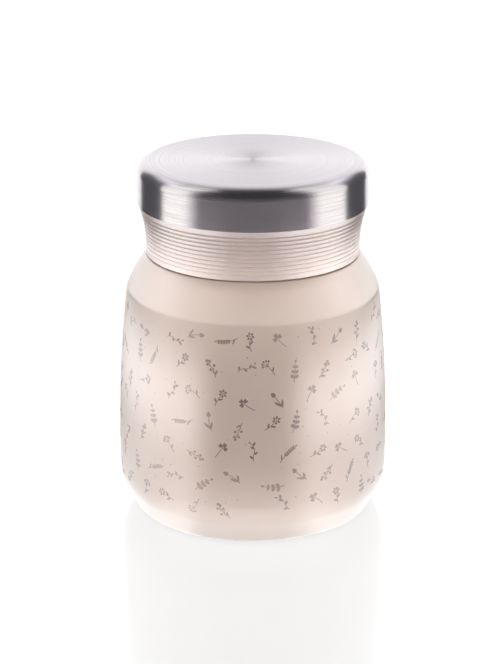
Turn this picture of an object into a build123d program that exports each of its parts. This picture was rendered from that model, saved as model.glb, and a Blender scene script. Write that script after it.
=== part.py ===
from build123d import *
from math import cos, radians, sin
import os

# Insulated food jar: a double-walled steel jar with a screw-on lid.
# Millimetres, +Z up. The origin is on the table, under the middle of the jar.
# Every outline is drawn in the half-plane (radius, height) and turned about Z.

os.makedirs("parts", exist_ok=True)

# ---------------------------------------------------------------- jar, outside
body_radius = 46.0           # widest radius of the coated shell
body_height = 88.9           # foot of the shell up to the ledge under the lid
shell_wall = 0.6
foot_inset = 5.0             # widest radius minus the radius of the foot's edge
foot_rounding = 1.2
foot_lip_width = 3.0         # how far the shell turns in under the jar
heel_inset = 1.5             # where the low cone meets the heel's bend
heel_height = 7.3
belly_low = 14.3             # the shell is upright between these two heights
belly_high = 20.0
barrel_inset = 3.32          # radius lost between the belly and the shoulder
barrel_height = 77.0
shoulder_break_rounding = 5.0
shoulder_bow = 60.0          # radius of the shoulder's own curve
ledge_rounding = 0.65
ledge_proud = 0.1            # the ledge stands out past the collar above it

# ---------------------------------------------------------------- neck and mouth
neck_radius = 32.0
neck_height = 15.6           # ledge up to the top of the outer shell
neck_root_rounding = 0.7
neck_vacuum_gap = 0.8
vessel_wall = 0.5
rim_rounding = 0.3

# ---------------------------------------------------------------- inner vessel
body_vacuum_gap = 2.58       # thinnest vacuum gap, at the top of the barrel
floor_vacuum_gap = 2.7       # vacuum base up to the vessel's floor
floor_rise = 1.0             # the middle of the floor stands higher by this
floor_rise_margin = 21.5     # vessel's wall in to the edge of the risen middle
floor_flat_margin = 11.5     # vessel's wall in to the edge of the flat outer floor
floor_corner_rounding = 6.0
floor_weld_height = 9.5      # floor up to the weld with the vessel's wall
vessel_shoulder_drop = 10.4  # ledge down to the top of the vessel's straight wall
vessel_neck_drop = 1.8       # ledge down to the foot of the vessel's neck
vessel_shoulder_rounding = 5.0
vessel_neck_rounding = 3.0
foil_thickness = 0.15
foil_gap = 0.05
foil_margin = 4.0            # bare strip of vessel above and below the foil

# ---------------------------------------------------------------- base of the jar
pad_proud = 0.5              # the silicone pad stands below the shell's foot
pad_thickness = 1.8
pad_clearance = 0.3
pad_groove_count = 3
pad_groove_width = 1.6
pad_groove_pitch = 4.0
pad_groove_depth = 0.5
pad_hollow_radius = 12.0
cover_proud = 0.8            # rim of the cover below the recess that holds the pad
cover_rim_width = 2.3
cover_plate = 1.0
cover_wall = 1.2
cover_lead_in = 1.1
cover_clearance = 0.3
base_recess = 4.7            # shell's foot up to the underside of the vacuum base
base_wall = 0.6
base_rounding = 1.0
base_foot_rounding = 0.5
base_weld_width = 1.6        # how far the vacuum base lies on the shell's lip
recess_step = 0.8            # lip's edge in to the outside of the recess's wall
vent_radius = 1.2            # hole that the air is drawn out through
vent_clearance = 0.05
seal_radius = 3.0
seal_thickness = 1.0
seal_slope = 0.8
getter_radius = 5.0
getter_height = 1.8
getter_wall = 0.3
getter_offset = 14.0
pellet_clearance = 0.1
pellet_thickness = 1.1

# ---------------------------------------------------------------- screw thread
thread_lead = 9.0            # rise in one whole turn
thread_starts = 2
thread_depth = 1.2
thread_root_width = 2.2
thread_crest_width = 1.0
thread_sink = 0.3            # how far a ridge is sunk into the wall that carries it
thread_radial_clearance = 0.4
thread_axial_clearance = 0.35
neck_thread_turns = 0.8
lid_thread_turns = 0.5
neck_thread_top_drop = 1.8   # top of the neck down to the thread's upper end
thread_run_out = 12.0        # degrees over which a ridge fades out

# ---------------------------------------------------------------- lid
lid_gap = 0.4                # ledge up to the lid's lower edge
collar_wall = 1.2
collar_upright = 2.8         # straight stretch at the foot of the collar
collar_flare = 2.5           # the collar widens upward by this
collar_over_rim = 1.35       # rim of the mouth up to the top of the collar
collar_foot_rounding = 0.2
collar_clearance = 0.05
groove_count = 10
groove_margin = 2.15         # plain land above and below the grooves
groove_radius = 0.40
groove_depth = 0.32
skirt_wall = 1.1
skirt_lift = 0.5             # the threaded skirt ends above the collar's edge
cap_height = 14.15
cap_proud = 0.2              # the steel cap stands out past the collar
cap_hem = 1.0                # upright strip along the cap's lower edge
cap_draft = 0.15
cap_wall = 0.6
cap_edge_rounding = 4.2
cap_clearance = 0.2
ceiling_wall = 1.4
carrier_wall = 1.25          # upright wall that the steel cap is pushed over
carrier_top_gap = 5.0        # top of the cap down to the top of that wall
foam_clearance = 0.6
foam_plug_gap = 2.8
plug_wall = 1.4
plug_depth = 8.0             # how far the plug reaches down into the mouth
plug_clearance = 0.5
plug_rounding = 2.0
gasket_thickness = 1.8
gasket_rim_gap = 0.3
gasket_lid_gap = 0.2
gasket_edge = 0.4            # height and width of the gasket's bevelled edges
gasket_skirt_gap = 0.4

# ---------------------------------------------------------------- worked out
foot_z = pad_proud
ledge_z = foot_z + body_height
neck_top = ledge_z + neck_height
rim_top = neck_top + vessel_wall

vessel_neck_radius = neck_radius - shell_wall - neck_vacuum_gap
mouth_radius = vessel_neck_radius - vessel_wall
vessel_radius = body_radius - barrel_inset - shell_wall - body_vacuum_gap
base_under = foot_z + base_recess
floor_z = base_under + base_wall + floor_vacuum_gap
weld_z = floor_z + floor_weld_height

skirt_bore = neck_radius + thread_depth + thread_radial_clearance
skirt_radius = skirt_bore + skirt_wall
collar_radius = skirt_radius + collar_clearance + collar_wall
collar_bottom = ledge_z + lid_gap
collar_top = rim_top + collar_over_rim
collar_top_radius = collar_radius + collar_flare
cap_radius = collar_top_radius + cap_proud
cap_top = collar_top + cap_height
plug_radius = mouth_radius - plug_clearance
plug_bottom = rim_top - plug_depth
foam_radius = plug_radius - plug_wall - foam_plug_gap
gasket_bottom = rim_top + gasket_rim_gap
gasket_top = gasket_bottom + gasket_thickness
ceiling_z = gasket_top + gasket_lid_gap
ledge_radius = collar_radius + ledge_proud

pad_top = pad_thickness
lip_top = foot_z + shell_wall
lip_inner_radius = body_radius - foot_inset - foot_lip_width
recess_radius = lip_inner_radius - base_wall - recess_step
cover_radius = recess_radius - cover_clearance
seat_radius = cover_radius - cover_rim_width
pad_radius = seat_radius - pad_clearance
base_weld_radius = lip_inner_radius + base_weld_width

neck_thread_low = neck_top - neck_thread_top_drop - thread_lead * neck_thread_turns
crest_overlap = thread_depth - thread_radial_clearance
flank_run = (thread_root_width - thread_crest_width) / 2 / thread_depth
thread_width_at_crests = thread_crest_width + flank_run * crest_overlap


# ---------------------------------------------------------------- helpers
def joined(edges, corners):
    """Join edges into one line and round the named corners."""
    line = Wire([edge.edge() for edge in edges])
    for point, rounding in corners:
        corner = line.vertices().sort_by_distance(Vector(*point))[0]
        line = line.fillet_2d(rounding, [corner])
    return line


def path(points):
    """Straight edges from point to point."""
    return [Line(a, b) for a, b in zip(points, points[1:])]


def turned(line):
    """A closed outline, turned about the jar's axis into a solid."""
    return revolve(Plane.XZ * make_face(line.edges()), Axis.Z)


def turned_block(points, corners=()):
    """A thick moulded ring or disc from its corner points."""
    return turned(joined(path(points + points[:1]), corners))


def turned_sheet(line, wall):
    """Sheet metal of one thickness, on the left-hand side of a drawn line."""
    return turned(offset(line, amount=wall, side=Side.LEFT))


def ring(inner, outer, low, high):
    """A plain ring, or a disc where inner is zero."""
    return turned_block([(inner, low), (outer, low), (outer, high), (inner, high)])


def polar(radius, angle):
    """A point in the plane seen from above."""
    return (radius * cos(radians(angle)), radius * sin(radians(angle)))


def run_out(root, crest, angle, way, height):
    """What is cut off a ridge's end, so that it fades from its crest into the wall."""
    sunk = root - (crest - root) / thread_depth * thread_sink / 2
    beyond = 2 * crest - root
    inside = angle - way * thread_run_out
    outside = angle + way * thread_run_out / 4
    outline = [
        polar(sunk, angle), polar(crest, inside), polar(beyond, inside),
        polar(beyond, outside), polar(sunk, outside),
    ]
    face = make_face(Polyline(*outline, close=True).edges())
    deep = 2 * thread_root_width
    return Pos(0, 0, height - deep / 2) * extrude(face, amount=deep)


def thread_ridges(root, way_out, low, turns):
    """The ridges of one thread: way_out is 1 outside a neck, -1 inside a bore."""
    crest = root + way_out * thread_depth
    wide = thread_root_width / 2
    narrow = thread_crest_width / 2
    helix = Helix(pitch=thread_lead, height=thread_lead * turns, radius=root)
    section = Polyline(
        (-way_out * thread_sink, -wide), (0, -wide), (way_out * thread_depth, -narrow),
        (way_out * thread_depth, narrow), (0, wide), (-way_out * thread_sink, wide),
        close=True,
    )
    plane = Plane(origin=helix @ 0, x_dir=(1, 0, 0), z_dir=helix % 0)
    ridge = sweep(plane * make_face(section.edges()), path=helix, is_frenet=True)
    ridge -= run_out(root, crest, 0, -1, 0)
    ridge -= run_out(root, crest, 360 * turns, 1, thread_lead * turns)
    turn = 360 / thread_starts
    return [Pos(0, 0, low) * Rot(0, 0, turn * i) * ridge for i in range(thread_starts)]


# ---------------------------------------------------------------- jar
def make_outer_shell():
    """Coated outer shell, from its turned-in foot to the threaded neck."""
    foot = body_radius - foot_inset
    belly = foot_z + belly_high
    shoulder = (body_radius - barrel_inset, foot_z + barrel_height)
    heel = (body_radius - heel_inset, foot_z + heel_height)
    foot_edge = (foot, foot_z)
    ledge = (ledge_radius, ledge_z)
    neck_foot = (neck_radius, ledge_z)
    edges = [
        Line((lip_inner_radius, foot_z), foot_edge),
        Line(foot_edge, heel),
        TangentArc((body_radius, foot_z + belly_low), heel, tangent=(0, -1)),
        Line((body_radius, foot_z + belly_low), (body_radius, belly)),
        TangentArc((body_radius, belly), shoulder, tangent=(0, 1)),
        RadiusArc(shoulder, ledge, -shoulder_bow),
        Line(ledge, neck_foot),
        Line(neck_foot, (neck_radius, neck_top)),
    ]
    corners = [
        (foot_edge, foot_rounding), (shoulder, shoulder_break_rounding),
        (ledge, ledge_rounding), (neck_foot, neck_root_rounding),
    ]
    shell = turned_sheet(joined(edges, corners), shell_wall)
    for ridge in thread_ridges(neck_radius, 1, neck_thread_low, neck_thread_turns):
        shell += ridge
    return shell


def make_inner_vessel():
    """Food vessel's wall, shoulder and neck, with the rim that joins the shell."""
    shoulder = (vessel_radius, ledge_z - vessel_shoulder_drop)
    neck_foot = (vessel_neck_radius, ledge_z - vessel_neck_drop)
    rim_root = (vessel_neck_radius, neck_top)
    points = [(vessel_radius, weld_z), shoulder, neck_foot, rim_root, (neck_radius, neck_top)]
    corners = [
        (shoulder, vessel_shoulder_rounding), (neck_foot, vessel_neck_rounding),
        (rim_root, rim_rounding),
    ]
    return turned_sheet(joined(path(points), corners), vessel_wall)


def make_vessel_bottom():
    """Dished floor of the food vessel, welded to its wall."""
    rise = (vessel_radius - floor_rise_margin, floor_z + floor_rise)
    flat = (vessel_radius - floor_flat_margin, floor_z)
    corner = (vessel_radius, floor_z)
    points = [(0, floor_z + floor_rise), rise, flat, corner, (vessel_radius, weld_z)]
    corners = [(point, floor_corner_rounding) for point in (rise, flat, corner)]
    return turned_sheet(joined(path(points), corners), vessel_wall)


def make_radiation_foil():
    """Foil wrapped round the vessel's straight wall, inside the vacuum."""
    inner = vessel_radius + foil_gap
    top = ledge_z - vessel_shoulder_drop - foil_margin
    return ring(inner, inner + foil_thickness, weld_z + foil_margin, top)


def make_vacuum_base():
    """Plate that closes the vacuum space, welded on the shell's turned-in lip."""
    top_corner = (recess_radius, base_under)
    low_corner = (recess_radius, lip_top)
    points = [(vent_radius, base_under), top_corner, low_corner, (base_weld_radius, lip_top)]
    corners = [(top_corner, base_rounding), (low_corner, base_foot_rounding)]
    return turned_sheet(joined(path(points), corners), base_wall)


def make_vacuum_seal():
    """Bead that plugs the vent in the vacuum base from below."""
    stem = vent_radius - vent_clearance
    low = base_under - seal_thickness
    points = [
        (0, low), (seal_radius - seal_slope, low), (seal_radius, base_under),
        (stem, base_under), (stem, base_under + base_wall), (0, base_under + base_wall),
    ]
    return turned_block(points)


def make_getter_cup():
    """Small open cup on the vacuum base, inside the vacuum."""
    floor = base_under + base_wall
    points = [(0, floor), (getter_radius, floor), (getter_radius, floor + getter_height)]
    return Pos(getter_offset, 0, 0) * turned_sheet(joined(path(points), []), getter_wall)


def make_getter_pellet():
    """Pressed pellet that soaks up stray gas, held in the getter cup."""
    low = base_under + base_wall + getter_wall
    radius = getter_radius - getter_wall - pellet_clearance
    return Pos(getter_offset, 0, 0) * ring(0, radius, low, low + pellet_thickness)


def make_base_cover():
    """Disc pushed into the recess of the base, with a seat for the pad below."""
    low = pad_top - cover_proud
    tip = cover_radius - cover_lead_in
    inner = tip - cover_wall
    points = [
        (0, pad_top), (seat_radius, pad_top), (seat_radius, low), (cover_radius, low),
        (cover_radius, base_under - cover_lead_in), (tip, base_under),
        (inner, base_under), (inner, pad_top + cover_plate), (0, pad_top + cover_plate),
    ]
    return turned_block(points)


def make_base_pad():
    """Silicone pad that the jar stands on, with ring grooves in its underside."""
    pad = ring(0, pad_radius, 0, pad_top)
    pad -= ring(0, pad_hollow_radius, 0, pad_groove_depth)
    for i in range(pad_groove_count):
        outer = pad_radius - pad_groove_pitch * (i + 1)
        pad -= ring(outer - pad_groove_width, outer, 0, pad_groove_depth)
    return pad


# ---------------------------------------------------------------- lid
def make_lid_gasket():
    """Silicone ring that the lid presses on the rim of the mouth."""
    inner = plug_radius + gasket_lid_gap
    outer = skirt_bore - gasket_skirt_gap
    bevel = gasket_bottom + gasket_edge
    points = [
        (inner, bevel), (inner + gasket_edge, gasket_bottom),
        (outer - gasket_edge, gasket_bottom), (outer, bevel),
        (outer, gasket_top), (inner, gasket_top),
    ]
    return turned_block(points)


def make_lid_body():
    """Moulded core of the lid: threaded skirt, ceiling and the cap's carrier."""
    skirt_bottom = collar_bottom + skirt_lift
    carrier = cap_radius - cap_draft - cap_wall - cap_clearance
    floor = ceiling_z + ceiling_wall
    top = cap_top - carrier_top_gap
    hole = foam_radius + foam_clearance
    points = [
        (skirt_bore, skirt_bottom), (skirt_radius, skirt_bottom), (skirt_radius, collar_top),
        (carrier, collar_top), (carrier, top), (carrier - carrier_wall, top),
        (carrier - carrier_wall, floor), (hole, floor), (hole, ceiling_z),
        (skirt_bore, ceiling_z),
    ]
    body = turned_block(points)
    low = neck_thread_low - thread_width_at_crests - thread_axial_clearance
    for ridge in thread_ridges(skirt_bore, -1, low, lid_thread_turns):
        body += ridge
    return body


def make_lid_liner():
    """Plug below the lid's ceiling, which holds the foam and faces the food."""
    corner = (plug_radius, plug_bottom)
    points = [(0, plug_bottom), corner, (plug_radius, ceiling_z)]
    return turned_sheet(joined(path(points), [(corner, plug_rounding)]), plug_wall)


def make_lid_foam():
    """Insulating block that fills the lid from the plug's floor to the steel cap."""
    return ring(0, foam_radius, plug_bottom + plug_wall, cap_top - cap_wall - cap_clearance)


def make_grip_ring():
    """Ring round the skirt that the fingers turn, flared and grooved."""
    inner = skirt_radius + collar_clearance
    foot = (collar_radius, collar_bottom)
    upright_top = (collar_radius, collar_bottom + collar_upright)
    top = (collar_top_radius, collar_top)
    flare = TangentArc(upright_top, top, tangent=(0, 1))
    edges = [
        Line((inner, collar_bottom), foot), Line(foot, upright_top), flare,
        Line(top, (inner, collar_top)), Line((inner, collar_top), (inner, collar_bottom)),
    ]
    collar = turned(joined(edges, [(foot, collar_foot_rounding)]))
    bow = flare.edge().radius
    pitch = (collar_top - collar_bottom - 2 * groove_margin) / (groove_count - 1)
    for i in range(groove_count):
        height = collar_bottom + groove_margin + pitch * i
        rise = max(0, height - upright_top[1])
        surface = collar_radius + bow - (bow ** 2 - rise ** 2) ** 0.5
        centre = surface + groove_radius - groove_depth
        collar -= turned_groove(centre, height)
    return collar


def turned_groove(centre, height):
    """A ring of round section, cut out of the collar for one groove."""
    return revolve(Plane.XZ * Pos(centre, height) * Circle(groove_radius), Axis.Z)


def make_steel_cap():
    """Spun steel cap over the top of the lid."""
    corner = (cap_radius - cap_draft, cap_top)
    hem = (cap_radius, collar_top + cap_hem)
    points = [(cap_radius, collar_top), hem, corner, (0, cap_top)]
    return turned_sheet(joined(path(points), [(corner, cap_edge_rounding)]), cap_wall)


def main():
    """Make every piece and write it under its own name."""
    pieces = {
        "outer_shell": make_outer_shell(),
        "inner_vessel": make_inner_vessel(),
        "inner_vessel_bottom": make_vessel_bottom(),
        "radiation_foil": make_radiation_foil(),
        "vacuum_base": make_vacuum_base(),
        "vacuum_seal": make_vacuum_seal(),
        "getter_cup": make_getter_cup(),
        "getter_pellet": make_getter_pellet(),
        "base_cover": make_base_cover(),
        "base_pad": make_base_pad(),
        "lid_gasket": make_lid_gasket(),
        "lid_body": make_lid_body(),
        "lid_liner": make_lid_liner(),
        "lid_foam": make_lid_foam(),
        "grip_ring": make_grip_ring(),
        "lid_steel_cap": make_steel_cap(),
    }
    for name, piece in pieces.items():
        piece.label = name
        export_step(piece, "parts/" + name + ".step")


main()
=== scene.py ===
import math
import random

import bmesh
import bpy
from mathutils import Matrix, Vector
from mathutils.bvhtree import BVHTree


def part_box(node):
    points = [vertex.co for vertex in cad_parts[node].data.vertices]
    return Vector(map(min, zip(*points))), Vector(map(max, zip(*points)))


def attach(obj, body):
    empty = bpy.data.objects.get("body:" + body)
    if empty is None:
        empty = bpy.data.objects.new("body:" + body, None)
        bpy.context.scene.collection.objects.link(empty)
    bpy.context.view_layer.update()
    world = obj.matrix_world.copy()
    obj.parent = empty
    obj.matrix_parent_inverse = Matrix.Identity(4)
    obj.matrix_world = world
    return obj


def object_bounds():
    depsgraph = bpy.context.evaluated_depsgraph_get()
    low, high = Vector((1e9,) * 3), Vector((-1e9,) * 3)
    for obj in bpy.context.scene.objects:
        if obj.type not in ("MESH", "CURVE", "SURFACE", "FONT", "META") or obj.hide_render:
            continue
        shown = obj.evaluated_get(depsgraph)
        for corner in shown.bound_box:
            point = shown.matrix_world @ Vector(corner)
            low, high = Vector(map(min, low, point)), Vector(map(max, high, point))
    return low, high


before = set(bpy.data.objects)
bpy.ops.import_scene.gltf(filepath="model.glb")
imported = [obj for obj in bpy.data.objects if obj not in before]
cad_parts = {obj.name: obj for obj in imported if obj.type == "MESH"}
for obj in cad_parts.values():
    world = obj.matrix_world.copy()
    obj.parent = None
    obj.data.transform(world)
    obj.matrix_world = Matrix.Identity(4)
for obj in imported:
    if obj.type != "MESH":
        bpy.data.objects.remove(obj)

# The insulated food jar, dressed for looks. Metres, +Z up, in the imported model's frame.
# Azimuths are degrees seen from above: 0 is the front (-Y), and they grow towards +X.

CAD_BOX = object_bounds()
MM = 0.001

# ---------------------------------------------------------------- sizes from the frame
RING_LOW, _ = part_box("grip_ring")
_, CAP_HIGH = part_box("lid_steel_cap")
LEDGE_GAP = 0.4 * MM                     # the grip ring stands this far over the ledge
LEDGE_Z = RING_LOW.z - LEDGE_GAP

# ---------------------------------------------------------------- camera
CAMERA_DISTANCE = 0.6865
CAMERA_ELEVATION = 19.36                 # degrees, looking down
CAMERA_TARGET = Vector((-1.64 * MM, 0, 60.06 * MM))
CAMERA_CLIP = 0.01
FOCAL_PIXELS = 2006                      # focal length in pixels of the 496 by 664 picture
PICTURE_HEIGHT = 664
SENSOR = 36


def make_camera():
    """The camera, in front of the jar and looking down at it."""
    data = bpy.data.cameras.new("camera")
    data.sensor_width = SENSOR
    data.lens = FOCAL_PIXELS * SENSOR / PICTURE_HEIGHT
    data.clip_start = CAMERA_CLIP
    camera = bpy.data.objects.new("camera", data)
    bpy.context.scene.collection.objects.link(camera)
    tilt = math.radians(CAMERA_ELEVATION)
    away = Vector((0, -math.cos(tilt), math.sin(tilt)))
    camera.location = CAMERA_TARGET + CAMERA_DISTANCE * away
    camera.rotation_euler = (-away).to_track_quat("-Z", "Y").to_euler()
    bpy.context.scene.camera = camera


# ---------------------------------------------------------------- shader helpers
class Shader:
    """A node tree with short calls for the nodes that are used here."""

    def __init__(self, name=None, tree=None):
        if tree is None:
            self.material = bpy.data.materials.new(name)
            self.material.use_nodes = True
            tree = self.material.node_tree
        self.tree = tree
        self.tree.nodes.clear()

    def feed(self, socket, value):
        """Link value into the socket if it is another node's output, and else set it."""
        if isinstance(value, bpy.types.NodeSocket):
            self.tree.links.new(value, socket)
        else:
            socket.default_value = value

    def add(self, kind, inputs=(), **settings):
        """A new node: settings are its properties, inputs its socket values or links."""
        node = self.tree.nodes.new("ShaderNode" + kind)
        for key, value in settings.items():
            setattr(node, key, value)
        for key, value in dict(inputs).items():
            self.feed(node.inputs[key], value)
        return node

    def math(self, operation, a, b=0.0, clamp=False):
        """One step of arithmetic."""
        node = self.add("Math", {0: a, 1: b}, operation=operation, use_clamp=clamp)
        return node.outputs[0]

    def plus(self, a, b):
        return self.math("ADD", a, b)

    def minus(self, a, b):
        return self.math("SUBTRACT", a, b)

    def times(self, a, b):
        return self.math("MULTIPLY", a, b)

    def absolute(self, a):
        return self.math("ABSOLUTE", a)

    def radius(self, x, y):
        """Distance from the jar's axis."""
        return self.math("SQRT", self.plus(self.times(x, x), self.times(y, y)))

    def ramp(self, value, span, low=0.0, high=1.0, smooth=False):
        """value over its span as low to high, held at both ends."""
        ends = {"From Min": span[0], "From Max": span[1], "To Min": low, "To Max": high}
        kind = "SMOOTHSTEP" if smooth else "LINEAR"
        node = self.add("MapRange", {"Value": value, **ends}, interpolation_type=kind)
        return node.outputs["Result"]

    def mix(self, factor, a, b):
        """Colour a where factor is 0, colour b where it is 1."""
        node = self.add("Mix", data_type="RGBA")
        for socket, value in ((0, factor), (6, a), (7, b)):     # the colour sockets of this node
            self.feed(node.inputs[socket], value)
        return node.outputs[2]

    def tones(self, colour, noise, span, darker, paler):
        """The colour, a little darker or paler as the noise says."""
        return self.mix(self.ramp(noise, span), shade(colour, darker), shade(colour, paler))

    def noise(self, vector, scale, detail=2.0):
        """Noise of about scale cells to the metre."""
        node = self.add("TexNoise", {"Vector": vector, "Scale": scale, "Detail": detail})
        return node.outputs["Fac"]

    def lines(self, x, y, along, slow, fast, detail=2.0):
        """Noise drawn out into lines round the axis: slow cells on them, fast cells across them."""
        vector = self.join(self.times(x, slow), self.times(y, slow), self.times(along, fast))
        return self.noise(vector, 1.0, detail)

    def place(self):
        """The point on the piece, in metres of its own frame, which moves with its body."""
        return self.add("TexCoord").outputs["Object"]

    def split(self, vector):
        return self.add("SeparateXYZ", {0: vector}).outputs

    def join(self, x, y, z):
        return self.add("CombineXYZ", {0: x, 1: y, 2: z}).outputs[0]

    def bump(self, height, distance):
        """The normal of a surface that rises by distance where height is 1."""
        return self.add("Bump", {"Height": height, "Distance": distance}).outputs[0]

    def surface(self, **inputs):
        """Finish the material as a Principled shader with these sockets."""
        named = {key.replace("_", " "): value for key, value in inputs.items()}
        shader = self.add("BsdfPrincipled", named)
        self.add("OutputMaterial", {"Surface": shader.outputs[0]})

    def one_sided(self, shader, fade=None):
        """Finish the material as this shader, but clear from behind and as far as fade says."""
        hidden = self.add("NewGeometry").outputs["Backfacing"]
        if fade:
            hidden = self.math("MAXIMUM", hidden, fade(self))
        clear = self.add("BsdfTransparent")
        both = self.add("MixShader", {0: hidden, 1: shader.outputs[0], 2: clear.outputs[0]})
        self.add("OutputMaterial", {"Surface": both.outputs[0]})


def srgb(red, green, blue):
    """A colour given as it shows on a screen, 0 to 255, as linear light with alpha."""
    def linear(v):
        v /= 255
        return v / 12.92 if v <= 0.04045 else ((v + 0.055) / 1.055) ** 2.4
    return (linear(red), linear(green), linear(blue), 1.0)


def shade(colour, factor):
    """The colour, times factor."""
    return (*(c * factor for c in colour[:3]), 1.0)


# ---------------------------------------------------------------- materials
BEIGE = srgb(219, 195, 181)
COLLAR_BEIGE = srgb(223, 201, 193)
INK = srgb(130, 104, 96)
PALE_INK = srgb(156, 129, 118)
STEEL = srgb(216, 211, 216)
BARE_STEEL = srgb(200, 198, 197)
FOIL = srgb(226, 227, 229)
SOLDER_GLASS = srgb(92, 96, 104)
PRESSED_POWDER = srgb(98, 96, 94)
WHITE_PLASTIC = srgb(236, 232, 225)
RIGID_FOAM = srgb(233, 226, 206)
SILICONE = srgb(226, 214, 205)

# The part of a noise's range that is used: nearly all of it for grain, less for the rest.
GRAIN_SPAN = (0.2, 0.8)
LINE_SPAN = (0.3, 0.7)
DRIFT_SPAN = (0.35, 0.65)

# The coat, and the ink on it, which takes on its grain.
COAT_GRAIN = 5200.0
COAT_ROUGH = (0.28, 0.36)
COAT_BUMP = 0.006 * MM
COAT_END = (LEDGE_Z + 0.1 * MM, LEDGE_Z + 0.25 * MM)     # heights over which it gives way

# The steel cap, with short brush lines on its side and nearly closed rings in its top.
SIDE_TO_TOP = (CAP_HIGH.z - 3.0 * MM, CAP_HIGH.z - 0.5 * MM)
SIDE_SLOW = 60.0
TOP_SLOW = 4.0
TOP_CENTRE = (1.0 * MM, 14.0 * MM)       # radii between which its middle grows smoother

MOULD_ROUGH = 0.05                       # how far moulded grain changes the roughness


def powder_coat():
    """Matte beige coat on steel, ending at the ledge: the neck above it is bare."""
    s = Shader("powder_coat")
    place = s.place()
    grain = s.noise(place, COAT_GRAIN)
    tone = s.tones(BEIGE, s.noise(place, 45.0, 3.0), DRIFT_SPAN, 0.975, 1.02)
    bare = s.ramp(s.split(place)[2], COAT_END)
    s.surface(
        Base_Color=s.mix(bare, tone, BARE_STEEL),
        Metallic=bare,
        Roughness=s.ramp(grain, GRAIN_SPAN, *COAT_ROUGH),
        Specular_IOR_Level=1.0,
        Normal=s.bump(grain, COAT_BUMP),
    )
    return s.material


def print_ink(name, colour):
    """Thin grey-brown ink of the printed sprigs, as matte as the coat under it."""
    s = Shader(name)
    grain = s.noise(s.place(), COAT_GRAIN)
    s.surface(
        Base_Color=s.tones(colour, grain, LINE_SPAN, 0.94, 1.08),
        Roughness=s.ramp(grain, GRAIN_SPAN, *COAT_ROUGH),
        Specular_IOR_Level=1.0,
        Normal=s.bump(grain, COAT_BUMP),
    )
    return s.material


def collar_plastic():
    """Fine-grained moulded plastic of the grip ring, with a sheen of its own."""
    s = Shader("collar_plastic")
    place = s.place()
    grain = s.noise(place, 7000.0)
    s.surface(
        Base_Color=s.tones(COLLAR_BEIGE, s.noise(place, 60.0), DRIFT_SPAN, 0.98, 1.02),
        Roughness=s.ramp(grain, GRAIN_SPAN, 0.32, 0.40),
        Specular_IOR_Level=1.0,
        Coat_Weight=1.0,
        Coat_Roughness=0.38,
        Coat_IOR=2.0,
        Normal=s.bump(grain, 0.004 * MM),
    )
    return s.material


def spun_steel():
    """Steel cap: rings turned in its top and brush lines round its side."""
    s = Shader("spun_steel")
    x, y, z = s.split(s.place())
    radius = s.radius(x, y)
    along = s.minus(z, radius)
    slow = s.ramp(z, SIDE_TO_TOP, SIDE_SLOW, TOP_SLOW)
    fine = s.lines(x, y, along, slow, 6500.0, 3.0)
    middle = s.lines(x, y, along, slow, 2900.0)
    broad = s.lines(x, y, along, 5.0, 1300.0)
    grain = s.plus(s.times(fine, 0.5), s.times(middle, 0.5))
    rough = s.plus(s.ramp(broad, LINE_SPAN, 0.255, 0.275), s.ramp(radius, TOP_CENTRE, 0.16, 0.0))
    s.surface(
        Base_Color=s.tones(STEEL, middle, DRIFT_SPAN, 0.90, 1.07),
        Metallic=1.0,
        Roughness=rough,
        Anisotropic=0.9,
        Anisotropic_Rotation=0.25,
        Tangent=s.add("Tangent", direction_type="RADIAL", axis="Z").outputs[0],
        Normal=s.bump(grain, 0.006 * MM),
    )
    return s.material


def bare_steel():
    """Satin steel of the vessel and the base, turned round the jar's axis."""
    s = Shader("bare_steel")
    x, y, z = s.split(s.place())
    fine = s.lines(x, y, z, 40.0, 3000.0)
    s.surface(
        Base_Color=s.tones(BARE_STEEL, fine, LINE_SPAN, 0.95, 1.03),
        Metallic=1.0,
        Roughness=s.ramp(fine, LINE_SPAN, 0.24, 0.32),
        Normal=s.bump(fine, 0.003 * MM),
    )
    return s.material


def crinkled_foil():
    """Thin bright foil, wrapped by hand and creased."""
    s = Shader("crinkled_foil")
    place = s.place()
    cells = s.add("TexVoronoi", {"Vector": place, "Scale": 260.0}, feature="DISTANCE_TO_EDGE")
    crease = s.ramp(cells.outputs["Distance"], (0.0, 0.25))
    drift = s.noise(place, 90.0, 3.0)
    s.surface(
        Base_Color=s.tones(FOIL, drift, LINE_SPAN, 0.93, 1.03),
        Metallic=1.0,
        Roughness=s.ramp(drift, LINE_SPAN, 0.14, 0.24),
        Normal=s.bump(s.plus(crease, drift), 0.15 * MM),
    )
    return s.material


def moulded(name, colour, rough):
    """A plain moulded or pressed piece with a fine grain."""
    s = Shader(name)
    place = s.place()
    grain = s.noise(place, 6000.0)
    s.surface(
        Base_Color=s.tones(colour, s.noise(place, 70.0), DRIFT_SPAN, 0.97, 1.02),
        Roughness=s.ramp(grain, GRAIN_SPAN, rough - MOULD_ROUGH, rough + MOULD_ROUGH),
        Normal=s.bump(grain, 0.005 * MM),
    )
    return s.material


# ---------------------------------------------------------------- stage and light
# The studio is a floor, some lamps and a set of cards. A card shines on one side and is
# clear from the other. All but the one round the foot are there for mirrored rays alone;
# that one is painted shade, a dim ring where the jar shades the floor's glow. Card profiles
# are (radius, height), spans are azimuths, and light of strength 1 shows as plain white.
WHITE = (1.0, 1.0, 1.0, 1.0)
WARM_WHITE = (1.0, 1.0, 0.94, 1.0)
PINK_DARK = (1.0, 0.91, 0.97, 1.0)
COOL_DARK = (1.0, 0.97, 1.06, 1.0)
FINE_STEPS = 48                          # facets of the wide mirrored cards
PLAIN_STEPS = 24                         # and of the others

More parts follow.
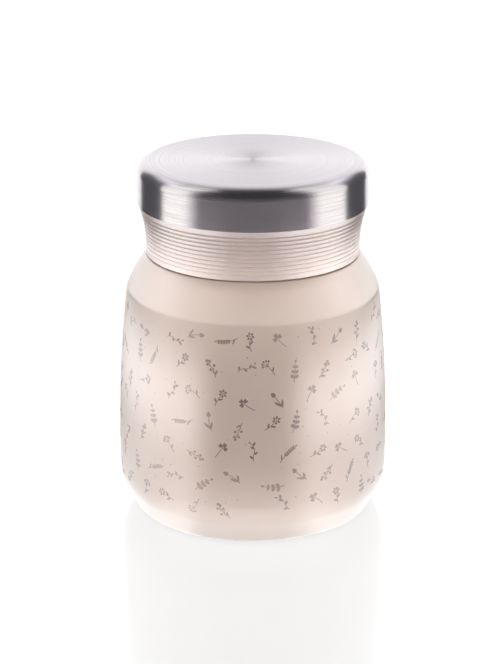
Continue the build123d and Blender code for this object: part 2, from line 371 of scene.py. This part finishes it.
# Lamps that light the jar but aren't mirrored in it.
LAMP_DISTANCE = 1.1
LAMP_SIZE = 0.5
LAMP_AIM = Vector((0, 0, 0.06))
LAMPS = (                                # azimuth, elevation, power
    (93, 30, 0.6),
    (0, 75, 1.4),
    (0, 30, 4.3),
    (180, 30, 3.0),
)
WORLD_LIGHT = 0.0                        # the lamps and the floor light the jar, not the world

FLOOR_REACH = 6.0
FLOOR_DROP = 0.02 * MM                   # under the pad, so that the two faces don't meet
FLOOR_PAINT = 0.15
FLOOR_ROUGH = 0.15
FLOOR_GLOW = 0.30                        # what the floor gives to other surfaces
FLOOR_SEEN = 0.78                        # and what it shows where it is seen itself
FOOT_PROFILE = ((0.030, 0.0003), (0.060, 0.0003))
FOOT_SPAN = (0, 360)
FOOT_SHADE_GLOW = 0.05                         # takes FLOOR_GLOW's place round the foot: painted shade, where the jar shades the floor

# The wall in front, with a shelf that hides the table from the cap.
WALL_RADIUS = 0.2
WALL_FOOT = 0.03
SHELF_EDGE = (0.065, 0.077)
WALL_PROFILE = (SHELF_EDGE, (WALL_RADIUS, WALL_FOOT), (WALL_RADIUS, 0.6))
WALL_SPAN = (-92, 95)
WALL_HEIGHTS = (0.055, 0.15)             # from FRONT_DARK to FRONT_HIGH_DARK
FRONT_DARK = 0.20
FRONT_HIGH_DARK = 0.04
LEFT_STRIP = (-67.0, -48.0)              # where the softbox on each side of it starts
RIGHT_STRIP = (47.0, 66.0)
STRIP_BRIGHT = 1.18

# The two walls beside and behind the jar.
FLANK_PROFILE = (SHELF_EDGE, (WALL_RADIUS, WALL_FOOT), (0.3, 0.04), (0.34, 0.45))
LEFT_FLANK_SPAN = (-92, -138)
RIGHT_FLANK_SPAN = (95, 141)
FLANK_HEIGHTS = (0.26, 0.38)             # from FLANK_DARK to FLANK_BRIGHT
FLANK_DARK = 0.09
FLANK_BRIGHT = 1.2

CEILING_CORNERS = ((-0.5, -0.6), (0.5, 0.45))
CEILING_HEIGHT = 0.6
CEILING_DEPTHS = (0.0, 0.25)             # along Y, from CEILING_DARK to CEILING_BACK
CEILING_DARK = 0.045
CEILING_BACK = 0.95

BACKDROP_PROFILE = ((1.0, 0.0), (1.0, 1.1))
BACKDROP_SPAN = (149, 211)
BACKDROP_BRIGHT = 1.17

# The table, as the coated wall of the jar mirrors it.
TABLE_PROFILE = ((0.034, 0.0006), (0.05, 0.001), (0.12, 0.002), (WALL_RADIUS, 0.029))
TABLE_SPAN = (-165, 165)
TABLE_BRIGHT = 7.0
TABLE_LEFT = (-52.0, -26.0)              # where it darkens towards the front, on each side
TABLE_RIGHT = (20.0, 48.0)
TABLE_FALL = (85.0, 150.0)               # and where it darkens towards the back
TABLE_END = 0.6
TABLE_SLOPE = (0.001, 0.012)             # heights over which it gains its full light
TABLE_LOW_SHARE = 0.4
NEAR_SPAN = (25.0, 80.0)                 # beside the foot, as the heel mirrors it
NEAR_SLOPE = (0.001, 0.002)
NEAR_BRIGHT = 5.0
NEAR_SIDE_SHARE = 0.12

# A cone over the shoulder. It lies below the cap, so that only the shoulder mirrors it.
SHOULDER_PROFILE = ((0.0475, 0.0995), (0.3, 0.044))
SHOULDER_RISE = (0.0, 75.0)
SHOULDER_FRONT = 1.9
SHOULDER_BRIGHT = 5.6
SHOULDER_FALL = (85.0, 140.0)
SHOULDER_FALL_SHARE = 0.6

# Two upright sheets under the shelf that face backwards. They take the place of the
# brighter table where the jar's edges mirror it, seen from behind.
SCREEN_CORNERS = ((0.049, 0.0006), (0.2, 0.0006), (0.2, 0.028), (0.062, 0.076), (0.049, 0.076))
SCREEN_Y = -0.02
SCREEN_SPAN = (0.05, 0.12)               # distances from the axis, from its dark to its bright
SCREEN_DARK = 0.7
SCREEN_BRIGHT = 3.2
SCREEN_FADE = (0.05, 0.09)               # and those over which it starts

# A sheet round the front of the cap's top, which mirrors it when seen from behind.
OVER_CAP_RADIUS = 0.0345
OVER_CAP_PROFILE = ((OVER_CAP_RADIUS, CAP_HIGH.z + 0.8 * MM), (OVER_CAP_RADIUS, 0.3))
OVER_CAP_SPAN = (-84, 84)
OVER_CAP_LIGHT = 0.5


def glowing(name, light, fade=None):
    """Light from a card's front, and nothing at all at its back. light is one strength, or
    a function that gives the colour and the strength by place."""
    s = Shader(name)
    colour, strength = light(s) if callable(light) else (WHITE, light)
    s.one_sided(s.add("Emission", {"Color": colour, "Strength": strength}), fade)
    return s.material


def azimuth_of(s):
    """The azimuth of a card's point, moved to where the cap's side mirrors it in the wall."""
    x, y, _ = s.split(s.place())
    turn = s.math("ARCTAN2", x, s.times(y, -1.0))
    nearer = s.minus(s.math("DIVIDE", CAP_HIGH.x, s.radius(x, y)), CAP_HIGH.x / WALL_RADIUS)
    shift = s.times(s.math("SINE", s.times(turn, 0.5)), nearer)
    return s.times(s.plus(turn, shift), 180 / math.pi)


def height_of(s):
    return s.split(s.place())[2]


def front_light(s):
    """The studio as the cap mirrors it: dark in front, darker higher up, a softbox each side."""
    turn = azimuth_of(s)
    dark = s.ramp(height_of(s), WALL_HEIGHTS, FRONT_DARK, FRONT_HIGH_DARK, smooth=True)
    left = s.ramp(turn, LEFT_STRIP, 1.0, 0.0, smooth=True)
    right = s.ramp(turn, RIGHT_STRIP, smooth=True)
    beside = s.plus(left, right)
    return s.mix(beside, PINK_DARK, WARM_WHITE), s.plus(dark, s.times(beside, STRIP_BRIGHT))


def flank_light(s):
    """Dark as the cap's side mirrors it, and bright higher up."""
    return COOL_DARK, s.ramp(height_of(s), FLANK_HEIGHTS, FLANK_DARK, FLANK_BRIGHT)


def ceiling_light(s):
    """Dark over the front, where the cap's rounded edge mirrors it, and paler behind the jar."""
    depth = s.split(s.place())[1]
    return WHITE, s.ramp(depth, CEILING_DEPTHS, CEILING_DARK, CEILING_BACK, smooth=True)


def table_light(s):
    """Dark in front and brightest at the sides, with more light close to the foot."""
    turn, height = azimuth_of(s), height_of(s)
    left = s.ramp(turn, TABLE_LEFT, TABLE_BRIGHT, FRONT_DARK, smooth=True)
    right = s.ramp(turn, TABLE_RIGHT, 0.0, TABLE_BRIGHT - FRONT_DARK, smooth=True)
    fall = s.ramp(s.absolute(turn), TABLE_FALL, 0.0, TABLE_BRIGHT - TABLE_END)
    far = s.times(
        s.minus(s.plus(left, right), fall),
        s.ramp(height, TABLE_SLOPE, TABLE_LOW_SHARE, 1.0),
    )
    near = s.times(
        s.ramp(s.absolute(turn), NEAR_SPAN, NEAR_BRIGHT, NEAR_BRIGHT * NEAR_SIDE_SHARE),
        s.ramp(height, NEAR_SLOPE, 1.0, 0.0, smooth=True),
    )
    return WHITE, s.plus(far, near)


def shoulder_light(s):
    """Brightest at the sides."""
    turn = s.absolute(azimuth_of(s))
    rise = s.ramp(turn, SHOULDER_RISE, SHOULDER_FRONT, SHOULDER_BRIGHT)
    fall = s.ramp(turn, SHOULDER_FALL, 0.0, SHOULDER_BRIGHT * SHOULDER_FALL_SHARE)
    return WHITE, s.minus(rise, fall)


def screen_light(s):
    """Dark beside the jar, where its very edge mirrors the sheet, and brighter further out."""
    x = s.absolute(s.split(s.place())[0])
    return WHITE, s.ramp(x, SCREEN_SPAN, SCREEN_DARK, SCREEN_BRIGHT)


def screen_fade(s):
    """How clear the sheet is: it starts softly beside the jar."""
    x = s.absolute(s.split(s.place())[0])
    return s.ramp(x, SCREEN_FADE, 1.0, 0.0, smooth=True)


def stand(name, build, material):
    """A card of the studio from its mesh: mirrored, but not seen itself."""
    mesh = bpy.data.meshes.new(name)
    build.to_mesh(mesh)
    build.free()
    mesh.materials.append(material)
    piece = bpy.data.objects.new(name, mesh)
    bpy.context.scene.collection.objects.link(piece)
    piece.visible_camera = False
    piece.visible_diffuse = False
    piece.visible_shadow = False
    piece.visible_transmission = False
    return piece


def curved_card(name, profile, span, material, steps=PLAIN_STEPS, aim=0.1):
    """A card swept round the jar. It faces the axis at height aim."""
    build = bmesh.new()
    columns = []
    for i in range(steps + 1):
        turn = math.radians(span[0] + (span[1] - span[0]) * i / steps)
        out = Vector((math.sin(turn), -math.cos(turn), 0))
        columns.append([build.verts.new(out * r + Vector((0, 0, z))) for r, z in profile])
    for a, b in zip(columns, columns[1:]):
        for i in range(len(profile) - 1):
            face = build.faces.new((a[i], a[i + 1], b[i + 1], b[i]))
            face.normal_update()
            if face.normal.dot(Vector((0, 0, aim)) - face.calc_center_median()) < 0:
                face.normal_flip()
    return stand(name, build, material)


def ceiling_card(material):
    """A level card that faces down."""
    build = bmesh.new()
    (x0, y0), (x1, y1) = CEILING_CORNERS
    corners = ((x0, y0), (x0, y1), (x1, y1), (x1, y0))
    build.faces.new([build.verts.new((x, y, CEILING_HEIGHT)) for x, y in corners])
    stand("ceiling_card", build, material)


def side_screen(side, material):
    """An upright sheet beside the jar that faces backwards."""
    build = bmesh.new()
    face = build.faces.new([build.verts.new((side * x, SCREEN_Y, z)) for x, z in SCREEN_CORNERS])
    face.normal_update()
    if face.normal.y < 0:
        face.normal_flip()
    stand("side_screen", build, material)


def softbox(azimuth, elevation, power):
    """A soft lamp aimed at the jar, and its twin on the other side if it stands beside it."""
    for side in (-1, 1) if azimuth % 180 else (1,):
        data = bpy.data.lights.new("softbox", "AREA")
        data.shape = "RECTANGLE"
        data.size = LAMP_SIZE
        data.size_y = LAMP_SIZE
        data.energy = power
        lamp = bpy.data.objects.new("softbox", data)
        bpy.context.scene.collection.objects.link(lamp)
        turn, rise = math.radians(azimuth * side), math.radians(elevation)
        level = math.cos(rise)
        away = Vector((math.sin(turn) * level, -math.cos(turn) * level, math.sin(rise)))
        lamp.location = LAMP_AIM + away * LAMP_DISTANCE
        lamp.rotation_euler = away.to_track_quat("Z", "Y").to_euler()
        lamp.visible_glossy = False


def seen_rays(s):
    """1 for the rays by which the studio itself is seen: straight, mirrored or through glass."""
    ray = s.add("LightPath").outputs
    seen = s.math("ADD", ray["Is Camera Ray"], ray["Is Glossy Ray"], clamp=True)
    return s.math("ADD", seen, ray["Is Transmission Ray"], clamp=True)


def make_world():
    """White wherever the background itself is seen, and no light from it."""
    world = bpy.data.worlds.new("studio")
    bpy.context.scene.world = world
    world.use_nodes = True
    s = Shader(tree=world.node_tree)
    light = s.add("Background", {"Color": WHITE, "Strength": WORLD_LIGHT})
    white = s.add("Background", {"Color": WHITE, "Strength": 1.0})
    both = s.add("MixShader", {0: seen_rays(s), 1: light.outputs[0], 2: white.outputs[0]})
    s.add("OutputWorld", {"Surface": both.outputs[0]})


def make_floor():
    """White acrylic floor that keeps the shadow and a faint mirror image, clear from below."""
    mesh = bpy.data.meshes.new("floor")
    build = bmesh.new()
    bmesh.ops.create_grid(build, x_segments=1, y_segments=1, size=FLOOR_REACH)
    bmesh.ops.translate(build, vec=(0, 0, -FLOOR_DROP), verts=build.verts)
    build.to_mesh(mesh)
    build.free()
    floor = bpy.data.objects.new("floor", mesh)
    bpy.context.scene.collection.objects.link(floor)
    s = Shader("floor_white")
    paint = s.add("BsdfPrincipled", {
        "Base Color": (FLOOR_PAINT, FLOOR_PAINT, FLOOR_PAINT, 1),
        "Roughness": FLOOR_ROUGH,
        "Specular IOR Level": 0.5,
    })
    strength = s.ramp(seen_rays(s), (0.0, 1.0), FLOOR_GLOW, FLOOR_SEEN)
    glow = s.add("Emission", {"Color": WHITE, "Strength": strength})
    s.one_sided(s.add("AddShader", {0: paint.outputs[0], 1: glow.outputs[0]}))
    mesh.materials.append(s.material)


def make_light():
    """The whole studio."""
    make_world()
    make_floor()
    for lamp in LAMPS:
        softbox(*lamp)
    around = glowing("front_light", front_light)
    curved_card("front_card", WALL_PROFILE, WALL_SPAN, around, FINE_STEPS)
    flank = glowing("flank_light", flank_light)
    curved_card("left_flank", FLANK_PROFILE, LEFT_FLANK_SPAN, flank)
    curved_card("right_flank", FLANK_PROFILE, RIGHT_FLANK_SPAN, flank)
    table = glowing("table_light", table_light)
    curved_card("table_mirror", TABLE_PROFILE, TABLE_SPAN, table, FINE_STEPS)
    shoulder = glowing("shoulder_light", shoulder_light)
    curved_card("shoulder_glow", SHOULDER_PROFILE, TABLE_SPAN, shoulder, FINE_STEPS, aim=0)
    screen = glowing("side_screen_light", screen_light, screen_fade)
    for side in (-1, 1):
        side_screen(side, screen)
    over_cap = glowing("over_cap_light", OVER_CAP_LIGHT)
    curved_card("over_cap", OVER_CAP_PROFILE, OVER_CAP_SPAN, over_cap, FINE_STEPS)
    # Painted shade: a dim ring round the foot, seen by diffuse rays only, where the jar shades the
    # floor's glow.
    foot = curved_card("table", FOOT_PROFILE, FOOT_SPAN, glowing("foot_shade_glow", FOOT_SHADE_GLOW))
    foot.visible_diffuse = True
    foot.visible_glossy = False
    ceiling_card(glowing("ceiling_light", ceiling_light))
    backdrop = glowing("backdrop_bright", BACKDROP_BRIGHT)
    curved_card("backdrop", BACKDROP_PROFILE, BACKDROP_SPAN, backdrop)


# ---------------------------------------------------------------- printed pattern: motifs
# Each motif is drawn in millimetres, upright and about its own middle, as a list of closed
# outlines. A stem is a list of (point, heading), and bend is how far its heading turns.


def oval(x, y, length, width, turn, point=1.0, sides=12):
    """A leaf outline from its base (x, y) along turn: point 1 is an ellipse, more is sharper."""
    line = []
    for i in range(sides):
        t = 2 * math.pi * i / sides
        along = (1 - math.cos(t)) / 2
        across = math.copysign(abs(math.sin(t)) ** point, math.sin(t)) * width / 2
        line.append((along * length, across))
    c, s = math.cos(turn), math.sin(turn)
    return [(x + a * c - b * s, y + a * s + b * c) for a, b in line]


def dot(x, y, radius, sides=10):
    turns = [2 * math.pi * i / sides for i in range(sides)]
    return [(x + radius * math.cos(t), y + radius * math.sin(t)) for t in turns]


def onward(at, turn, length):
    """The point that lies length away from at."""
    return at[0] + math.cos(turn) * length, at[1] + math.sin(turn) * length


def branch(at, heading, length, bend, steps=4):
    """A stem that starts at a point."""
    points = [(at, heading)]
    for _ in range(steps):
        heading += bend / steps
        x = at[0] + math.cos(heading) * length / steps
        y = at[1] + math.sin(heading) * length / steps
        at = (x, y)
        points.append((at, heading))
    return points


def bent(length, bend, steps=8):
    """An upright stem, centred on its middle."""
    points = branch((0.0, 0.0), math.pi / 2 - bend / 2, length, bend, steps)
    dx, dy = points[-1][0][0] / 2, points[-1][0][1] / 2
    return [((x - dx, y - dy), h) for (x, y), h in points]


def strip(stem, start, end):
    """Outlines along a stem whose width goes from start to end."""
    sides = []
    for i, ((x, y), h) in enumerate(stem):
        half = (start + (end - start) * i / (len(stem) - 1)) / 2
        dx, dy = math.sin(h) * half, math.cos(h) * half
        sides.append(((x - dx, y + dy), (x + dx, y - dy)))
    return [[a[1], b[1], b[0], a[0]] for a, b in zip(sides, sides[1:])]


def leaf(base, length, width, lean=0.0, point=1.0):
    """A leaf on a stem's (point, heading), leaning away from the heading."""
    (x, y), heading = base
    return oval(x, y, length, width, heading + lean, point)


def round_leaf_sprig(bend):
    """Pairs of round leaves up a stem, smaller towards its tip."""
    stem = bent(6.8, bend)
    shapes = strip(stem, 0.30, 0.18)
    for i, size in ((2, 1.45), (4, 1.25), (6, 1.0)):
        for side in (-1, 1):
            shapes.append(leaf(stem[i], size * 1.15, size * 0.85, side * 1.0, 0.9))
    shapes.append(leaf(stem[-1], 1.0, 0.8))
    return shapes


def bud_stem(bend):
    """A closed bud with two sepals over a pair of long leaves."""
    stem = bent(4.8, bend)
    shapes = strip(stem, 0.28, 0.24)
    shapes.append(leaf(stem[-1], 1.9, 1.2, point=1.5))
    for side in (-1, 1):
        shapes.append(leaf(stem[-1], 1.3, 0.45, side * 0.7, 1.6))
    shapes.append(leaf(stem[1], 3.2, 0.85, 0.45, 1.7))
    shapes.append(leaf(stem[1], 2.6, 0.8, -0.55, 1.7))
    return shapes


def berry_twig(bend):
    """Berries on short twigs, with a leaf at the foot."""
    stem = bent(6.2, bend)
    shapes = strip(stem, 0.30, 0.20)
    for i, side, length in ((2, 1, 1.6), (3, -1, 1.8), (5, 1, 1.4), (6, -1, 1.1)):
        at, h = stem[i]
        twig = branch(at, h + side * 0.8, length, -side * 0.35)
        shapes += strip(twig, 0.22, 0.18)
        shapes.append(dot(*twig[-1][0], 0.46))
    shapes.append(dot(*stem[-1][0], 0.50))
    shapes.append(leaf(stem[1], 1.9, 0.7, -0.7, 1.4))
    return shapes


def blossom(bend):
    """An open flower with six petals and two leaves on its stem."""
    stem = bent(4.6, bend)
    shapes = strip(stem[:-1], 0.28, 0.22)
    at, h = stem[-1]
    heart = onward(at, h, 0.5)
    for i in range(6):
        turn = h + math.pi / 6 + i * math.pi / 3
        shapes.append(oval(*onward(heart, turn, 0.4), 1.05, 0.72, turn, 0.9))
    shapes.append(dot(*heart, 0.22))
    for i, side in ((2, 1), (4, -1)):
        shapes.append(leaf(stem[i], 1.8, 0.7, side * 0.8, 1.4))
    return shapes


def grain_ear(bend):
    """An ear of grain, with one blade low on its stalk."""
    stem = bent(7.0, bend)
    shapes = strip(stem, 0.26, 0.18)
    for i in (3, 4, 5, 6, 7):
        for side in (-1, 1):
            shapes.append(leaf(stem[i], 1.25, 0.5, side * 0.6, 1.3))
    shapes.append(leaf(stem[-1], 1.2, 0.46, point=1.4))
    shapes.append(leaf(stem[1], 2.0, 0.5, 0.6, 1.6))
    return shapes


def trefoil(bend):
    """A clover leaf of three hearts."""
    stem = bent(4.4, bend)
    shapes = strip(stem, 0.28, 0.22)
    at, h = stem[-1]
    for side in (-1, 0, 1):
        turn = h + side * 1.6
        for lobe in (-1, 1):
            shapes.append(oval(*onward(at, turn, 0.2), 1.5, 0.78, turn + lobe * 0.32, 0.95))
    return shapes


def vine(bend):
    """A wavy tendril with one leaf at a time, first on one side and then on the other."""
    low = bent(3.2, bend - 0.9)
    high = branch(*low[-1], 3.2, 1.1, 6)
    shapes = strip(low, 0.28, 0.24) + strip(high, 0.24, 0.16)
    for base, side in ((low[2], 1), (low[6], -1), (high[2], 1), (high[4], -1)):
        shapes.append(leaf(base, 1.5, 0.8, side * 0.85, 1.1))
    shapes.append(leaf(high[-1], 1.0, 0.5, point=1.2))
    return shapes


def umbel(bend):
    """A fan of short rays that each end in a dot."""
    stem = [((x, y - 1.0), h) for (x, y), h in bent(3.8, bend)]
    shapes = strip(stem, 0.30, 0.22)
    at, h = stem[-1]
    for i in range(5):
        ray = branch(at, h + (i - 2) * 0.52, 2.1 - 0.18 * abs(i - 2), (2 - i) * 0.1)
        shapes += strip(ray, 0.20, 0.16)
        shapes.append(dot(*ray[-1][0], 0.38))
    shapes.append(leaf(stem[3], 1.7, 0.6, -0.8, 1.5))
    return shapes


MOTIFS = (                               # each with half its length
    (round_leaf_sprig, 4.2),
    (bud_stem, 3.4),
    (berry_twig, 3.6),
    (blossom, 3.2),
    (grain_ear, 4.4),
    (trefoil, 3.2),
    (vine, 3.6),
    (umbel, 3.2),
)

# ---------------------------------------------------------------- printed pattern: layout
PRINT_LOW = 9.5 * MM
PRINT_HIGH = 75.5 * MM
PRINT_RADIUS = 45.2 * MM                 # mean radius of the printed wall
SEED = 7

# Lengths from here to the ink are in millimetres on the unrolled wall.
ROW_PITCH = 8.9
COLUMN_PITCH = 10.2
JITTER = 1.8                             # how far a motif may move from its place in the rows
TRIES = 40                               # of which the one with the most room is kept
FREE_SHARE = 0.3                         # of the motifs point anywhere
LEAN = 0.8                               # spread of the others' lean from upright, in radians
MOST_BEND = 0.7                          # of a stem, in radians
PALE_SHARE = 0.25                        # of the motifs are printed in the paler ink
NEIGHBOUR_REACH = 14                     # along the row
TWIN_REACH = 13                          # up the wall, in which a like motif counts as near
TWIN_COST = 0.8                          # of room, for having one near
ENOUGH_ROOM = 1.6
EDGE_EXTRA = 1.0                         # room at the print's edges counts for this much more
DISC_AT = 0.62                           # of a motif's half length, from its middle
DISC_RADII = (1.3, 1.5, 1.3)
SPOT_TRIES = 300
SPOT_SIZES = (0.15, 0.25)
SPOT_SIDES = 8
SPOT_MARGIN = 1
SPOT_TO_MOTIF = 0.7
SPOT_TO_SPOT = 2.6


def gap_between(a, b, wrap):
    """Room between two motifs or spots, each given as discs."""
    room = math.inf
    for (x1, y1), r1 in a:
        for (x2, y2), r2 in b:
            dx = abs(x1 - x2) % wrap
            room = min(room, math.hypot(min(dx, wrap - dx), y1 - y2) - r1 - r2)
    return room


def discs(x, y, half, turn):
    """A motif as three discs along its length, the second at its middle."""
    dx, dy = -math.sin(turn) * half * DISC_AT, math.cos(turn) * half * DISC_AT
    return list(zip(((x - dx, y - dy), (x, y), (x + dx, y + dy)), DISC_RADII))


def room_for(here, make, taken, low, high, wrap):
    """Room round a motif's discs, less where a like motif is near."""
    x, y = here[1][0]
    edge = min(min(cy - r - low, high - cy - r) for (_, cy), r in here)
    near = []
    for other, other_make in taken:
        (other_x, other_y), _ = other[1]
        if abs((other_x - x + wrap / 2) % wrap - wrap / 2) < NEIGHBOUR_REACH:
            near.append((other, other_make is make and abs(other_y - y) < TWIN_REACH))
    gaps = [gap_between(here, other, wrap) for other, _ in near]
    room = min([*gaps, ENOUGH_ROOM, edge + EDGE_EXTRA])
    return room - TWIN_COST * any(alike for _, alike in near)


def lay_out():
    """[(shapes, x, y, turn, ink)]: motifs in staggered rows, each place shaken, then dots
    where there is room between them."""
    rng = random.Random(SEED)
    wrap = 2 * math.pi * PRINT_RADIUS / MM
    low, high = PRINT_LOW / MM, PRINT_HIGH / MM
    columns = round(wrap / COLUMN_PITCH)
    rows = int((high - low) / ROW_PITCH)
    taken, placed = [], []
    for row in range(rows):
        for column in range(columns):
            best = None
            for _ in range(TRIES):
                make, half = rng.choice(MOTIFS)
                x = (column + 0.5 * (row % 2)) * wrap / columns + rng.uniform(-JITTER, JITTER)
                y = low + (row + 0.5) * (high - low) / rows + rng.uniform(-JITTER, JITTER)
                free = rng.random() < FREE_SHARE
                turn = rng.uniform(-math.pi, math.pi) if free else rng.gauss(0, LEAN)
                here = discs(x, y, half, turn)
                room = room_for(here, make, taken, low, high, wrap)
                if best is None or room > best[0]:
                    best = (room, here, make, x, y, turn)
            _, here, make, x, y, turn = best
            taken.append((here, make))
            shapes = make(rng.uniform(-MOST_BEND, MOST_BEND))
            placed.append((shapes, x, y, turn, int(rng.random() < PALE_SHARE)))
    spots = []
    for _ in range(SPOT_TRIES):
        x, y = rng.uniform(0, wrap), rng.uniform(low + SPOT_MARGIN, high - SPOT_MARGIN)
        size = rng.uniform(*SPOT_SIZES)
        here = [((x, y), size)]
        clear = all(gap_between(here, other, wrap) > SPOT_TO_MOTIF for other, _ in taken)
        if clear and all(gap_between(here, spot, wrap) > SPOT_TO_SPOT for spot in spots):
            spots.append(here)
            placed.append(([dot(0, 0, size, SPOT_SIDES)], x, y, 0, 1))
    return placed


# ---------------------------------------------------------------- printed pattern: ink
INK_RISE = 0.03 * MM
INK_SINK = 0.05 * MM
LAYER_RISE = 0.0002 * MM                 # from one shape of a motif to the next over it
RAY_START = 0.06                         # outside the wall


def film(tree, shape, layer, x, y, turn):
    """The top and the bottom outline of one shape's ink, on the shell's wall."""
    c, s = math.cos(turn), math.sin(turn)
    top, bottom = [], []
    for a, b in shape:
        azimuth = (x + a * c - b * s) * MM / PRINT_RADIUS
        height = (y + a * s + b * c) * MM
        out = Vector((math.sin(azimuth), -math.cos(azimuth), 0))
        point, normal, _, _ = tree.ray_cast(out * RAY_START + Vector((0, 0, height)), -out)
        top.append(point + normal * (INK_RISE + layer * LAYER_RISE))
        bottom.append(point - normal * INK_SINK)
    return top, bottom


def add_film(build, top, bottom, ink):
    """A closed solid between the two outlines."""
    upper = [build.verts.new(p) for p in top]
    lower = [build.verts.new(p) for p in bottom]
    faces = [build.faces.new(upper), build.faces.new(lower[::-1])]
    for i in range(len(upper)):
        j = (i + 1) % len(upper)
        faces.append(build.faces.new((upper[j], upper[i], lower[i], lower[j])))
    for face in faces:
        face.material_index = ink


def make_print():
    """Ink films on the shell's wall, which reach a little into the coat. A motif that would
    stand out past the solids' box, where the wall touches it, is left out."""
    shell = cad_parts["outer_shell"].data
    tree = BVHTree.FromPolygons(
        [v.co for v in shell.vertices], [p.vertices for p in shell.polygons]
    )
    build = bmesh.new()
    limit = [min(abs(CAD_BOX[0][i]), abs(CAD_BOX[1][i])) for i in (0, 1)]
    for shapes, x, y, turn, ink in lay_out():
        films = [film(tree, shape, layer, x, y, turn) for layer, shape in enumerate(shapes)]
        reach = [max(abs(p[i]) for top, _ in films for p in top) for i in (0, 1)]
        if reach[0] > limit[0] or reach[1] > limit[1]:
            continue
        for top, bottom in films:
            add_film(build, top, bottom, ink)
    mesh = bpy.data.meshes.new("printed_sprigs")
    bmesh.ops.recalc_face_normals(build, faces=build.faces)
    build.to_mesh(mesh)
    build.free()
    mesh.materials.append(print_ink("print_ink", INK))
    mesh.materials.append(print_ink("print_ink_pale", PALE_INK))
    piece = bpy.data.objects.new("printed_sprigs", mesh)
    bpy.context.scene.collection.objects.link(piece)
    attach(piece, "jar")


# ---------------------------------------------------------------- dressing the nodes
def dress(material, *names):
    """Give these nodes the material."""
    for name in names:
        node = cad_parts[name]
        node.data.materials.clear()
        node.data.materials.append(material)


make_camera()
make_light()
make_print()
dress(powder_coat(), "outer_shell")
dress(collar_plastic(), "grip_ring")
dress(spun_steel(), "lid_steel_cap")
dress(bare_steel(), "inner_vessel", "inner_vessel_bottom", "vacuum_base", "getter_cup")
dress(crinkled_foil(), "radiation_foil")
dress(moulded("solder_glass", SOLDER_GLASS, 0.2), "vacuum_seal")
dress(moulded("pressed_powder", PRESSED_POWDER, 0.8), "getter_pellet")
dress(moulded("beige_plastic", COLLAR_BEIGE, 0.5), "lid_body", "base_cover")
dress(moulded("white_plastic", WHITE_PLASTIC, 0.4), "lid_liner")
dress(moulded("rigid_foam", RIGID_FOAM, 0.85), "lid_foam")
dress(moulded("silicone", SILICONE, 0.6), "lid_gasket", "base_pad")

bpy.context.scene.view_settings.view_transform = "Standard"
